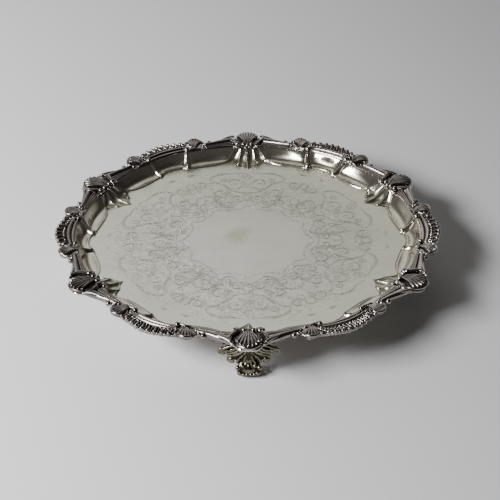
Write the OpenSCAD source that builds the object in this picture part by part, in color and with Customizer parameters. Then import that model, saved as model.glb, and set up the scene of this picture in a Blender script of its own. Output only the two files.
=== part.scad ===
// Round footed salver: a raised sheet tray with a hollow-chased wall, a border
// of cast mounts soldered on its flange, and three cast scroll feet.
// Origin: centre of the tray, on the surface it stands on. +Z up, front foot at -Y.

/* [Salver] */
// Diameter over the tips of two opposite shells
salver_d = 305; // [280:1:330]
// Height of the top face of the tray floor above the table
floor_z = 26.9; // [24:0.1:32]
// Height of the wall, from the floor to the flange
wall_h = 8.3; // [6:0.1:11]
// Thickness of the raised sheet
sheet_t = 1.2; // [0.9:0.1:1.8]

/* [Border] */
// Height of the ridge of the reeded moulding above the flange
reed_h = 3.6; // [2.5:0.1:5]
// Height of the shell mounts above the flange
shell_h = 4.8; // [3.5:0.1:6]
// Ribs on each shell
shell_ribs = 9; // [7:2:11]
// Height of the gadrooned arcs above the flange
arc_h = 3.7; // [2.5:0.1:5]
// Beads along each gadrooned arc
arc_beads = 8; // [6:1:10]
// Height of the leaf mounts above the flange
leaf_h = 4.2; // [3:0.1:5.5]

/* [Feet] */
// Width of a foot over its upper volutes
foot_w = 44; // [38:1:50]
// Width of the shell toe that a foot stands on
toe_w = 19; // [14:1:24]
// Thickness of the casting
foot_t = 3.2; // [2.6:0.2:4]
// Distance of the middle of a toe from the centre of the salver
toe_r = 131; // [128:1:136]

/* [Hidden] */

R = salver_d / 2;
flange_z = floor_z + wall_h;          // top face of the flange
under_z = flange_z - sheet_t;         // underside of the flange
e_end = 4.9;                          // half angle of a shell mount
m_end = 15.3;                         // where the reeded moulding meets the leaf mount
l_end = 22;                         // where the leaf mount meets the gadrooned arc

// Shell n sits at 60n - 150 degrees, so shell 1 is over the front foot (-Y)
function shell_a(n) = 60 * n - 150;
// Angle from the nearest shell, 0 to 30
function fold(a) = let(m = ((a % 60) + 60) % 60) abs(m - 30);

// Outline of the border, as fractions of R against the folded angle
outline_t = [[0, 1], [2, 1], [3, .988], [4, .966], [4.9, .955], [7, .94], [10, .922], [12, .912],
  [15.3, .905], [16.2, .935], [17.2, .957], [18.6, .957], [20, .95], [22, .955],
  [25, .967], [28, .978], [30, .981]];
function r_out(t) = R * lookup(t, outline_t);
// Inner edge of the border and top of the wall
inner_t = [[0, .85], [4, .853], [4.9, .858], [20, .860], [22.4, .868], [25, .874], [30, .875]];
function r_in(t) = R * lookup(t, inner_t);
// Edge of the flat floor, against the folded angle at the floor
foot_t_of_wall = [[0, .7045], [1.4, .713], [2.8, .729], [5.6, .765], [8.4, .791], [10, .775], [12, .768],
  [15, .763], [18, .765], [21, .770], [24.6, .7803], [26, .793], [28, .80], [30, .803]];
function r_fl(t) = R * lookup(t, foot_t_of_wall);
// The chased creases slant: angle at the floor for an angle at the rim
function spread(t) = lookup(t, [[0, 0], [4, 8.4], [22.4, 24.6], [30, 30]]);

// Where a petal of the wall turns steep: later in its middle, earlier beside a crease
function swell(t) = t < 4 ? 0.40 : 0.32 + 0.22 * sin(180 * (t < 22.4 ? (t - 4) / 18.4 : (t - 22.4) / 15.2));
// Height of the wall at a fraction q of its width: a shallow sweep from the floor, then steep
function cove(q, t) = let(a = swell(t), u = max(0, min(1, (q - a) / 0.24)))
  0.352 * q + 0.648 / (0.88 - a) * (0.24 * (pow(u, 3) - pow(u, 4) / 2) + max(0, q - a - 0.24));
function cove_slope(q, t) = let(a = swell(t), u = max(0, min(1, (q - a) / 0.24)))
  0.352 + 0.648 / (0.88 - a) * u * u * (3 - 2 * u);
// Depth of the four flutes below each shell: zero on the arrises, deepest between them
function flute(t, q) = t >= 4 ? 0 : 0.9 * sin(180 * q) * pow(sin(t / 4 * 360), 2);

// ---- tray body ----
rim_half = [0, .5, 1, 1.5, 2, 2.5, 3, 3.5, 4, 7, 10, 13.2, 16.5, 19.5, 22.4, 25, 27.5];
rim_angles = [for (s = [0:5]) each concat(
    [for (t = rim_half) 30 + 60 * s + t],
    [60 + 60 * s],
    [for (i = [len(rim_half) - 1:-1:1]) 90 + 60 * s - rim_half[i]])];
wall_q = [0, 0.34, 0.5, 0.62, 0.76, 1];
// Signed angle from the nearest shell
function signed(a) = let(m = ((a % 60) + 60) % 60) m - 30;
function at(r, a, z) = [r * cos(a), r * sin(a), z];
function wall_pt(a, q, side) =
  let(t = fold(a), s = signed(a), c = a - s, tf = spread(t),
      r0 = r_fl(tf), r1 = r_in(t), w = r1 - r0,
      r = r0 + w * q, z = floor_z + wall_h * cove(q, t) - flute(t, q),
      ang = c + sign(s) * (tf + (t - tf) * q),
      sl = wall_h * cove_slope(q, t) / w, n = sqrt(1 + sl * sl))
  side == 0 ? at(r, ang, z)
    : q == 0 ? at(r, ang, floor_z - sheet_t)
    : q == 1 ? at(r + sheet_t, ang, under_z)
    : at(r + sheet_t * sl / n, ang, z - sheet_t / n);
function flange_pt(a, side) = at(r_out(fold(a)) - 1.4, a, side == 0 ? flange_z : under_z);
NA = len(rim_angles);
NR = len(wall_q) + 1;
tray_pts = concat(
  [for (side = [0, 1]) each concat(
    [for (q = wall_q) each [for (a = rim_angles) wall_pt(a, q, side)]],
    [for (a = rim_angles) flange_pt(a, side)])],
  [[0, 0, floor_z], [0, 0, floor_z - sheet_t]]);
function tp(side, k, i) = side * NR * NA + k * NA + (i % NA);
tray_faces = concat(
  [for (i = [0:NA - 1]) [2 * NR * NA, tp(0, 0, i + 1), tp(0, 0, i)]],
  [for (i = [0:NA - 1]) [2 * NR * NA + 1, tp(1, 0, i), tp(1, 0, i + 1)]],
  [for (k = [0:NR - 2], i = [0:NA - 1], h = [0, 1]) h == 0 ?
    [tp(0, k, i), tp(0, k + 1, i + 1), tp(0, k + 1, i)] : [tp(0, k, i), tp(0, k, i + 1), tp(0, k + 1, i + 1)]],
  [for (k = [0:NR - 2], i = [0:NA - 1], h = [0, 1]) h == 0 ?
    [tp(1, k, i), tp(1, k + 1, i), tp(1, k + 1, i + 1)] : [tp(1, k, i), tp(1, k + 1, i + 1), tp(1, k, i + 1)]],
  [for (i = [0:NA - 1], h = [0, 1]) h == 0 ?
    [tp(0, NR - 1, i), tp(0, NR - 1, i + 1), tp(1, NR - 1, i + 1)] : [tp(0, NR - 1, i), tp(1, NR - 1, i + 1), tp(1, NR - 1, i)]]);
module tray_body() {
  color([0.80, 0.80, 0.77]) polyhedron(points = tray_pts, faces = tray_faces, convexity = 6);
}

// ---- border mounts: blocks with a relief top, standing on the flange ----
// Height above the flange at a fraction s of the width and a folded angle t
function moulding_h(s, t) = reed_h * lookup(s, [[0, .25], [.09, .52], [.15, .40], [.25, .66], [.31, .54],
  [.43, .84], [.48, .74], [.62, 1], [.75, .96], [.88, .70], [1, .18]]);
function arc_row(s) = max(0, 1 - pow((s - .72) / .30, 2));
function arc_h_at(s, t) = arc_h * (lookup(s, [[0, .24], [.1, .46], [.16, .36], [.28, .58], [.34, .5], [.5, .66],
  [.75, .74], [.9, .6], [1, .2]]) + .26 * arc_row(s) * pow(sin((30 - t) / (30 - l_end) * 90 * arc_beads), 2));
function leaf_h_at(s, t) = let(k = (t - m_end) / (l_end - m_end))
  leaf_h * (lookup(s, [[0, .34], [.15, .62], [.35, .8], [.7, .86], [.9, .6], [1, .18]])
    + .14 * sin(180 * k) * sin(180 * s) * (1 + sin(s * 540 + k * 360)) / 2
    - .10 * pow(cos(180 * k), 2) * sin(180 * s));
function shell_h_at(s, t) = let(k = t / e_end)
  shell_h * (lookup(s, [[0, .2], [.1, .5], [.3, .78], [.6, .92], [.82, 1], [.92, .8], [1, .22]])
    * (1 - .28 * k * k) - .13 * min(1, 3 * s) * pow(sin(k * 90 * shell_ribs), 2));
function relief(kind, s, t) = kind == 0 ? moulding_h(s, t) : kind == 1 ? arc_h_at(s, t)
  : kind == 2 ? leaf_h_at(s, t) : shell_h_at(s, t);

// a0, a1: true angles of the two ends; na, ns: steps along and across
module mount(kind, a0, a1, na, srow) {
  ns = len(srow) - 1;
  top = [for (i = [0:na]) let(a = a0 + (a1 - a0) * i / na, t = fold(a)) for (s = srow)
    at(r_in(t) + s * (r_out(t) - r_in(t)), a, flange_z + relief(kind, s, t))];
  foot = [for (i = [0:na]) let(a = a0 + (a1 - a0) * i / na, t = fold(a)) each
    [at(r_in(t), a, flange_z), at(r_out(t), a, flange_z)]];
  b = (na + 1) * (ns + 1);
  function T(i, j) = i * (ns + 1) + j;
  faces = concat(
    [for (i = [0:na - 1], j = [0:ns - 1], h = [0, 1]) h == 0 ?
      [T(i, j), T(i + 1, j + 1), T(i, j + 1)] : [T(i, j), T(i + 1, j), T(i + 1, j + 1)]],
    // inner side, outer side, in quads
    [for (i = [0:na - 1], h = [0, 1]) h == 0 ?
      [T(i, 0), b + 2 * i, b + 2 * i + 2] : [T(i, 0), b + 2 * i + 2, T(i + 1, 0)]],
    [for (i = [0:na - 1], h = [0, 1]) h == 0 ?
      [T(i, ns), b + 2 * i + 3, b + 2 * i + 1] : [T(i, ns), T(i + 1, ns), b + 2 * i + 3]],
    // ends
    [concat([b + 1, b], [for (j = [0:ns]) T(0, j)])],
    [concat([b + 2 * na, b + 2 * na + 1], [for (j = [ns:-1:0]) T(na, j)])],
    // underside
    [for (i = [0:na - 1], h = [0, 1]) h == 0 ?
      [b + 2 * i, b + 2 * i + 1, b + 2 * i + 3] : [b + 2 * i, b + 2 * i + 3, b + 2 * i + 2]]);
  polyhedron(points = concat(top, foot), faces = faces, convexity = 6);
}

s_reed = [0, .09, .15, .25, .31, .43, .48, .62, .75, .88, 1];
s_arc = [0, .1, .16, .28, .42, .56, .7, .84, 1];
s_leaf = [0, .15, .35, .55, .75, .9, 1];
s_shell = [0, .1, .3, .55, .8, .92, 1];

module moulding(n, side) {
  c = shell_a(n);
  color([0.72, 0.70, 0.68]) if (side > 0) mount(0, c + e_end, c + m_end, 6, s_reed);
    else mount(0, c - m_end, c - e_end, 6, s_reed);
}
module leaf(n, side) {
  c = shell_a(n);
  color([0.70, 0.67, 0.64]) if (side > 0) mount(2, c + m_end, c + l_end, 8, s_leaf);
    else mount(2, c - l_end, c - m_end, 8, s_leaf);
}
module gadroon(n) {
  c = shell_a(n);
  color([0.74, 0.72, 0.69]) mount(1, c + l_end, c + 60 - l_end, 4 * arc_beads, s_arc);
}
module shell(n) {
  c = shell_a(n);
  color([0.78, 0.76, 0.73]) mount(3, c - e_end, c + e_end, 2 * shell_ribs, s_shell);
}

// ---- feet ----
// Front line of the casting in the radial plane: [distance from the middle of the toe, height]
front_line = [[6.6, 0], [7.6, 2.4], [7.0, 5.2], [4.8, 8], [3.0, 11.5], [2.8, 15], [4.2, 19],
  [7.0, 23], [9.4, 27], [10, 30.5], [9.2, under_z]];
// The back of the casting: the toe is solid, the rest is foot_t thick
function back_of(p) = [p[0] - foot_t * (p[1] < 6 ? 3 : p[1] < 9 ? 1.7 : 1), p[1]];
// Half outline seen from the front: [half width, height]
side_line = [[toe_w / 2 - 2.8, 0], [toe_w / 2 - .5, 2], [toe_w / 2, 4.6], [toe_w / 2 - 1.2, 7.4], [6.8, 9.2], [7.6, 10.8],
  [11, 10.6], [14.2, 12.2], [15, 14.8], [14, 17.4], [11.6, 18.8], [14, 20.4], [17.6, 20],
  [foot_w / 2 - .6, 21.8], [foot_w / 2, 25], [foot_w / 2 - .8, 28.2], [foot_w / 2 - 4, 30.4], [foot_w / 2 - 6, under_z]];
module foot(a) {
  // [side, height, radius, start, reach] of the upper and lower volutes
  volutes = [[foot_w / 2 - 4.6, 25, 4, 5.2, 5], [11.3, 14.4, 3.2, .2, 5], [5.4, 6.2, 2.2, 4, 4]];
  color([0.66, 0.64, 0.58]) rotate([0, 0, a]) translate([toe_r, 0, 0]) intersection() {
    union() {
      rotate([90, 0, 0]) linear_extrude(height = foot_w + 2, center = true)
        polygon(concat(front_line, [for (i = [len(front_line) - 1:-1:0]) back_of(front_line[i])]));
      for (v = volutes, m = [-1, 1]) translate([v[3], m * v[0], v[1]]) rotate([0, 90, 0])
        cylinder(r = v[2], h = v[4], $fn = 32);
      for (k = [-1:1]) translate([6.6, k * 3.4, 2.9]) sphere(r = 1.8, $fn = 24);
    }
    rotate([90, 0, 90]) linear_extrude(height = 40, center = true)
      polygon(concat(side_line, [for (i = [len(side_line) - 1:-1:0]) [-side_line[i][0], side_line[i][1]]]));
  }
}
module foot_front() { foot(-90); }
module foot_back_right() { foot(30); }
module foot_back_left() { foot(150); }

tray_body();
shell(1);  // shell_1
shell(2);  // shell_2
shell(3);  // shell_3
shell(4);  // shell_4
shell(5);  // shell_5
shell(6);  // shell_6
moulding(1, 1);  // moulding_1a
moulding(1, -1);  // moulding_1b
moulding(2, 1);  // moulding_2a
moulding(2, -1);  // moulding_2b
moulding(3, 1);  // moulding_3a
moulding(3, -1);  // moulding_3b
moulding(4, 1);  // moulding_4a
moulding(4, -1);  // moulding_4b
moulding(5, 1);  // moulding_5a
moulding(5, -1);  // moulding_5b
moulding(6, 1);  // moulding_6a
moulding(6, -1);  // moulding_6b
leaf(1, 1);  // leaf_1a
leaf(1, -1);  // leaf_1b
leaf(2, 1);  // leaf_2a
leaf(2, -1);  // leaf_2b
leaf(3, 1);  // leaf_3a
leaf(3, -1);  // leaf_3b
leaf(4, 1);  // leaf_4a
leaf(4, -1);  // leaf_4b
leaf(5, 1);  // leaf_5a
leaf(5, -1);  // leaf_5b
leaf(6, 1);  // leaf_6a
leaf(6, -1);  // leaf_6b
gadroon(1);  // gadroon_1
gadroon(2);  // gadroon_2
gadroon(3);  // gadroon_3
gadroon(4);  // gadroon_4
gadroon(5);  // gadroon_5
gadroon(6);  // gadroon_6
foot_front();
foot_back_right();
foot_back_left();
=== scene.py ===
import math

import bpy
import numpy as np
from mathutils import Matrix, Vector, geometry


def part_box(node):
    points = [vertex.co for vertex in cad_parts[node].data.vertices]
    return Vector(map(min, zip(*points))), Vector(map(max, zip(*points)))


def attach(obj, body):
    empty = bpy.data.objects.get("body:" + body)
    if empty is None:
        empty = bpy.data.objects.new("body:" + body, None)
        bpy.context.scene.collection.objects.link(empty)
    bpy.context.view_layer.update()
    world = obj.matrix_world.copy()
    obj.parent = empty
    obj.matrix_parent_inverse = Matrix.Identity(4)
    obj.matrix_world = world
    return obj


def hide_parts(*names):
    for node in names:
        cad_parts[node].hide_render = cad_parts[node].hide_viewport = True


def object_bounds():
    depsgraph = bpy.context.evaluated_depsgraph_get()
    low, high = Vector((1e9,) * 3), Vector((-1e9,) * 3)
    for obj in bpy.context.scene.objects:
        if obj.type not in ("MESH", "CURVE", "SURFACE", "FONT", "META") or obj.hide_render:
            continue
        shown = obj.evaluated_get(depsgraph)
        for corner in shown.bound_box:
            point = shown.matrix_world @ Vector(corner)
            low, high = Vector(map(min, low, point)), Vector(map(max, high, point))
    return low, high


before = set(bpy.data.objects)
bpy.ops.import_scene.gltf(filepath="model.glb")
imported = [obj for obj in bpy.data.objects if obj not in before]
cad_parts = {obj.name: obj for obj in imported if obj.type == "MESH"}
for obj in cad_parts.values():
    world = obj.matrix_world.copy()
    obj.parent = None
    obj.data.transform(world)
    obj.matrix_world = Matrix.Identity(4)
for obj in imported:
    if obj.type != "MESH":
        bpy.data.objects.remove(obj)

# ------------------------------------------------------------------ frame dimensions (mm)
cad_lo, cad_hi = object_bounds()
t_lo, t_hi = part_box("tray_body")
f_lo, f_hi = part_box("foot_front")
s_lo, s_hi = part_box("shell_4")
R = (cad_hi.y - cad_lo.y) * 500          # radius over the shell tips
FLZ = t_hi.z * 1000                      # top of the flange
UNZ = f_hi.z * 1000                      # underside of the flange
SHEET = FLZ - UNZ
FLOOR = t_lo.z * 1000 + SHEET            # top of the tray floor
WALL = FLZ - FLOOR
TOP = cad_hi.z * 1000                    # highest point
BALLZ = FLZ + 2.3
rng = np.random.default_rng(7)


def pchip(pairs):
    x = np.array([p[0] for p in pairs], float)
    y = np.array([p[1] for p in pairs], float)
    h = np.diff(x)
    d = np.diff(y) / h
    m = np.zeros_like(x)
    for i in range(1, len(x) - 1):
        if d[i - 1] * d[i] > 0:
            w1, w2 = 2 * h[i] + h[i - 1], h[i] + 2 * h[i - 1]
            m[i] = (w1 + w2) / (w1 / d[i - 1] + w2 / d[i])
    m[0], m[-1] = d[0], d[-1]

    def f(v):
        v = np.clip(np.asarray(v, float), x[0], x[-1])
        i = np.clip(np.searchsorted(x, v, side="right") - 1, 0, len(x) - 2)
        u = (v - x[i]) / h[i]
        return ((1 + 2 * u) * (1 - u) ** 2 * y[i] + u * (1 - u) ** 2 * h[i] * m[i]
                + u * u * (3 - 2 * u) * y[i + 1] + u * u * (u - 1) * h[i] * m[i + 1])
    return f


def lin(pairs):
    x = np.array([p[0] for p in pairs], float)
    y = np.array([p[1] for p in pairs], float)
    return lambda v: np.interp(v, x, y)


# outline, inner edge and floor edge against the angle from the nearest shell (the CAD's own tables)
r_out = pchip([(0, R), (2, R), (3, .988 * R), (4, .966 * R), (4.9, .955 * R), (7, .94 * R), (10, .922 * R), (12, .912 * R),
               (15.3, .905 * R), (16.2, .935 * R), (17.2, .957 * R), (18.6, .957 * R), (20, .95 * R), (22, .955 * R),
               (25, .967 * R), (28, .978 * R), (30, .981 * R)])
r_in = pchip([(0, .85 * R), (4, .853 * R), (4.9, .858 * R), (20, .860 * R), (22.4, .868 * R), (25, .874 * R), (30, .875 * R)])
r_flo = pchip([(0, .7045 * R), (1.4, .713 * R), (2.8, .729 * R), (5.6, .765 * R), (8.4, .791 * R), (10, .775 * R), (12, .768 * R),
               (15, .763 * R), (18, .765 * R), (21, .770 * R), (24.6, .7803 * R), (26, .793 * R), (28, .80 * R), (30, .803 * R)])
spread = lin([(0, 0), (4, 8.4), (22.4, 24.6), (30, 30)])
SHELLS = [60 * n - 150 for n in range(1, 7)]


def swell(t):
    """Where each petal of the wall turns steep: later in its middle, earlier beside a crease."""
    t = np.asarray(t, float)
    u = np.where(t < 22.4, (t - 4) / 18.4, (t - 22.4) / 15.2)
    return np.where(t < 4, .40, .32 + .22 * np.sin(np.pi * np.clip(u, 0, 1)))


def cove(q, t):
    """Height of the wall from 0 to 1: a shallow sweep from the floor, then a steep upper part."""
    a = swell(t)
    u = np.clip((q - a) / .24, 0, 1)
    return .352 * q + .648 / (.88 - a) * (.24 * (u ** 3 - u ** 4 / 2) + np.maximum(0, q - a - .24))


def cove_slope(q, t):
    a = swell(t)
    u = np.clip((q - a) / .24, 0, 1)
    return .352 + .648 / (.88 - a) * u * u * (3 - 2 * u)


def smooth01(x):
    x = np.clip(x, 0, 1)
    return x * x * (3 - 2 * x)


# ------------------------------------------------------------------ mesh helpers
def mesh_from(name, verts, faces, scale=0.001, smooth=True):
    me = bpy.data.meshes.new(name)
    me.from_pydata((np.asarray(verts, float) * scale).tolist(), [], [list(map(int, f)) for f in faces])
    me.validate()
    me.update()
    if smooth:
        me.polygons.foreach_set("use_smooth", np.ones(len(me.polygons), bool))
    return me


def obj_of(name, me):
    o = bpy.data.objects.new(name, me)
    bpy.context.scene.collection.objects.link(o)
    return o


class Bag:
    """Closed shells gathered for one casting; every part is closed and faces outward."""

    def __init__(self):
        self.v, self.f, self.n = [], [], 0

    def add(self, v, f):
        v = np.asarray(v, float)
        self.v.append(v)
        self.f.extend([tuple(int(i) + self.n for i in face) for face in f])
        self.n += len(v)

    def arrays(self):
        return np.concatenate(self.v), self.f


def ball(bag, c, r, scale=(1, 1, 1), seg=16, axes=None):
    rings = seg // 2
    v, f = [], []
    for i in range(1, rings):
        a = math.pi * i / rings
        for j in range(seg):
            b = 2 * math.pi * j / seg
            v.append((math.sin(a) * math.cos(b), math.sin(a) * math.sin(b), math.cos(a)))
    v = [(0, 0, 1)] + v + [(0, 0, -1)]
    v = np.array(v) * np.array(scale) * r
    if axes is not None:
        v = v @ np.array(axes)
    v = v + np.array(c)
    last = len(v) - 1
    for j in range(seg):
        k = (j + 1) % seg
        f.append((0, 1 + j, 1 + k))
        f.append((last, last - seg + k, last - seg + j))
        for i in range(rings - 2):
            p, q = 1 + i * seg, 1 + (i + 1) * seg
            f.append((p + j, q + j, q + k, p + k))
    bag.add(v, f)


def tube(bag, pts, rad, seg=10, flat=1.0, up=(0, 0, 1), ends=(1, 1)):
    """A swept tube with rounded ends. flat scales it along `up` seen across the path."""
    pts = np.asarray(pts, float)
    n = len(pts)
    rad = np.full(n, float(rad)) if np.isscalar(rad) else np.interp(np.linspace(0, 1, n), np.linspace(0, 1, len(rad)), rad)
    tan = np.gradient(pts, axis=0)
    tan /= np.linalg.norm(tan, axis=1)[:, None] + 1e-12
    v = []
    up = np.array(up, float)

    def ring(c, t, r):
        side = np.cross(t, up)
        s = np.linalg.norm(side)
        side = side / s if s > 1e-4 else np.array([1.0, 0, 0])
        u2 = np.cross(side, t)
        a = np.linspace(0, 2 * math.pi, seg, endpoint=False)
        return c + r * (np.cos(a)[:, None] * side + flat * np.sin(a)[:, None] * u2)
    caps = [(0.95, 0.35), (0.7, 0.75)]
    rows = []
    for k, (d, s) in enumerate(caps):
        rows.append(ring(pts[0] - tan[0] * rad[0] * d * ends[0], tan[0], rad[0] * s))
    for i in range(n):
        rows.append(ring(pts[i], tan[i], rad[i]))
    for d, s in reversed(caps):
        rows.append(ring(pts[-1] + tan[-1] * rad[-1] * d * ends[1], tan[-1], rad[-1] * s))
    v = np.concatenate(rows + [[pts[0] - tan[0] * rad[0] * ends[0]], [pts[-1] + tan[-1] * rad[-1] * ends[1]]])
    f = []
    m = len(rows)
    for i in range(m - 1):
        for j in range(seg):
            k = (j + 1) % seg
            f.append((i * seg + j, i * seg + k, (i + 1) * seg + k, (i + 1) * seg + j))
    a, b = m * seg, m * seg + 1
    for j in range(seg):
        k = (j + 1) % seg
        f.append((a, k, j))
        f.append((b, (m - 1) * seg + j, (m - 1) * seg + k))
    # face outward: signed volume
    vol = sum(np.dot(v[p[0]], np.cross(v[p[i]], v[p[i + 1]])) for p in f for i in range(1, len(p) - 1))
    if vol < 0:
        f = [tuple(reversed(p)) for p in f]
    bag.add(v, f)


def slab(bag, top, bottom):
    """A closed block from two grids of points (n, m, 3)."""
    top, bottom = np.asarray(top, float), np.asarray(bottom, float)
    n, m = top.shape[:2]
    v = np.concatenate([top.reshape(-1, 3), bottom.reshape(-1, 3)])
    o = n * m
    f = []
    for i in range(n - 1):
        for j in range(m - 1):
            a, b, c, d = i * m + j, i * m + j + 1, (i + 1) * m + j + 1, (i + 1) * m + j
            f.append((a, b, c, d))
            f.append((o + d, o + c, o + b, o + a))
    for i in range(n - 1):
        a, d = i * m, (i + 1) * m
        f.append((a, d, o + d, o + a))
        a, d = i * m + m - 1, (i + 1) * m + m - 1
        f.append((d, a, o + a, o + d))
    for j in range(m - 1):
        f.append((j + 1, j, o + j, o + j + 1))
        a = (n - 1) * m
        f.append((a + j, a + j + 1, o + a + j + 1, o + a + j))
    c = v.mean(0)
    vol = sum(np.dot(v[p[0]] - c, np.cross(v[p[i]] - c, v[p[i + 1]] - c)) for p in f for i in range(1, 3))
    if vol < 0:
        f = [tuple(reversed(p)) for p in f]
    bag.add(v, f)


def PT(t, r, z):
    """Front sector: angle t (degrees, + towards +X) from the front shell, distance r, height z."""
    a = np.radians(t)
    t, r, z = np.broadcast_arrays(np.asarray(t, float), np.asarray(r, float), np.asarray(z, float))
    a = np.radians(t)
    return np.stack([r * np.sin(a), -r * np.cos(a), z], -1)


def XR(x, r, z):
    x, r, z = np.broadcast_arrays(np.asarray(x, float), np.asarray(r, float), np.asarray(z, float))
    return np.stack([x, -r, z], -1)


def spline(pts, n):
    """Catmull-Rom through pts, n samples."""
    p = np.asarray(pts, float)
    p = np.concatenate([[2 * p[0] - p[1]], p, [2 * p[-1] - p[-2]]])
    k = len(p) - 3
    out = []
    for s in np.linspace(0, k, n):
        i = min(int(s), k - 1)
        u = s - i
        a, b, c, d = p[i], p[i + 1], p[i + 2], p[i + 3]
        out.append(0.5 * (2 * b + (c - a) * u + (2 * a - 5 * b + 4 * c - d) * u * u + (3 * b - a - 3 * c + d) * u ** 3))
    return np.array(out)


def remeshed(name, bag, voxel, smooth_steps=2):
    """Voxel-remeshes a bag (in mm) into one clean closed skin and returns (verts, faces)."""
    v, f = bag.arrays()
    me = mesh_from(name + "_raw", v, f, scale=1.0)
    o = obj_of(name + "_raw", me)
    mod = o.modifiers.new("r", "REMESH")
    mod.mode = "VOXEL"
    mod.voxel_size = voxel
    mod.use_smooth_shade = True
    dg = bpy.context.evaluated_depsgraph_get()
    ev = o.evaluated_get(dg)
    m2 = ev.to_mesh()
    nv = len(m2.vertices)
    co = np.empty(nv * 3, np.float32)
    m2.vertices.foreach_get("co", co)
    co = co.reshape(-1, 3).astype(float)
    faces = [tuple(p.vertices) for p in m2.polygons]
    ed = np.empty(len(m2.edges) * 2, np.int32)
    m2.edges.foreach_get("vertices", ed)
    ed = ed.reshape(-1, 2)
    ev.to_mesh_clear()
    bpy.data.objects.remove(o)
    bpy.data.meshes.remove(me)
    for k in range(smooth_steps):
        co = relax(co, ed, 0.5)
        co = relax(co, ed, -0.5)
    co = relax(co, ed, 0.35)
    return co, faces, ed


def relax(co, ed, w):
    n = len(co)
    deg = np.bincount(ed.ravel(), minlength=n).astype(float)
    out = np.empty_like(co)
    for k in range(3):
        s = np.bincount(ed[:, 0], co[ed[:, 1], k], n) + np.bincount(ed[:, 1], co[ed[:, 0], k], n)
        out[:, k] = s / np.maximum(deg, 1)
    return co + w * (out - co)


def cavity(co, ed, nrm, steps, depth):
    s = co
    for k in range(steps):
        s = relax(s, ed, 0.6)
    d = np.einsum("ij,ij->i", co - s, nrm)      # negative in hollows
    return np.clip(-d / depth, -1, 1)


def edges_of(me):
    ed = np.empty(len(me.edges) * 2, np.int32)
    me.edges.foreach_get("vertices", ed)
    return ed.reshape(-1, 2)


def set_cavity(me, steps=8, depth=0.12, name="cav", scale=1000.0, lift=0.0):
    n = len(me.vertices)
    co = np.empty(n * 3, np.float32)
    me.vertices.foreach_get("co", co)
    nr = np.empty(n * 3, np.float32)
    me.vertices.foreach_get("normal", nr)
    c = cavity(co.reshape(-1, 3).astype(float) * scale, edges_of(me), nr.reshape(-1, 3).astype(float), steps, depth)
    at = me.attributes.new(name, "FLOAT", "POINT")
    at.data.foreach_set("value", (0.5 + 0.5 * c + lift).astype(np.float32))


def rot_z(co, deg):
    a = math.radians(deg)
    c, s = math.cos(a), math.sin(a)
    out = co.copy()
    out[:, 0] = co[:, 0] * c - co[:, 1] * s
    out[:, 1] = co[:, 0] * s + co[:, 1] * c
    return out


def mirror_x(co, faces):
    out = co.copy()
    out[:, 0] *= -1
    return out, [tuple(reversed(f)) for f in faces]


def piece(name, co, faces, node, mat, cav_steps=8, cav_depth=0.12, smooth=True):
    me = mesh_from(name, co, faces, smooth=smooth)
    set_cavity(me, cav_steps, cav_depth, lift=.15 if node.startswith("shell") else 0.0)
    me.materials.append(mat)
    o = obj_of(name, me)
    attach(o, "root")
    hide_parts(node)
    return o


# ------------------------------------------------------------------ materials
class N:
    def __init__(self, mat):
        mat.use_nodes = True
        self.t = mat.node_tree
        self.t.nodes.clear()

    def new(self, kind, **kw):
        n = self.t.nodes.new(kind)
        for k, v in kw.items():
            if k == "inputs":
                for i, val in v.items():
                    n.inputs[i].default_value = val
            else:
                setattr(n, k, v)
        return n

    def link(self, a, b):
        self.t.links.new(a, b)

    def math(self, op, a, b=None, clamp=False):
        n = self.new("ShaderNodeMath", operation=op, use_clamp=clamp)
        for i, x in enumerate((a, b)):
            if x is None:
                continue
            if isinstance(x, (int, float)):
                n.inputs[i].default_value = x
            else:
                self.link(x, n.inputs[i])
        return n.outputs[0]

    def mix(self, fac, a, b):
        n = self.new("ShaderNodeMix", data_type="RGBA")
        for sock, x in ((n.inputs[0], fac), (n.inputs[6], a), (n.inputs[7], b)):
            if hasattr(x, "is_linked") or hasattr(x, "node"):
                self.link(x, sock)
            elif isinstance(x, (int, float)):
                sock.default_value = x
            else:
                sock.default_value = (*x, 1)
        return n.outputs[2]

    def ramp(self, fac, stops):
        n = self.new("ShaderNodeValToRGB")
        el = n.color_ramp.elements
        while len(el) < len(stops):
            el.new(0.5)
        for e, (p, c) in zip(el, stops):
            e.position = p
            e.color = (c, c, c, 1) if isinstance(c, (int, float)) else (*c, 1)
        self.link(fac, n.inputs[0])
        return n.outputs[0]

    def noise(self, scale, detail=4, rough=0.55, vec=None, dims="3D"):
        n = self.new("ShaderNodeTexNoise", noise_dimensions=dims)
        n.inputs["Scale"].default_value = scale
        n.inputs["Detail"].default_value = detail
        n.inputs["Roughness"].default_value = rough
        if vec is not None:
            self.link(vec, n.inputs["Vector"])
        return n.outputs[0]


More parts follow.
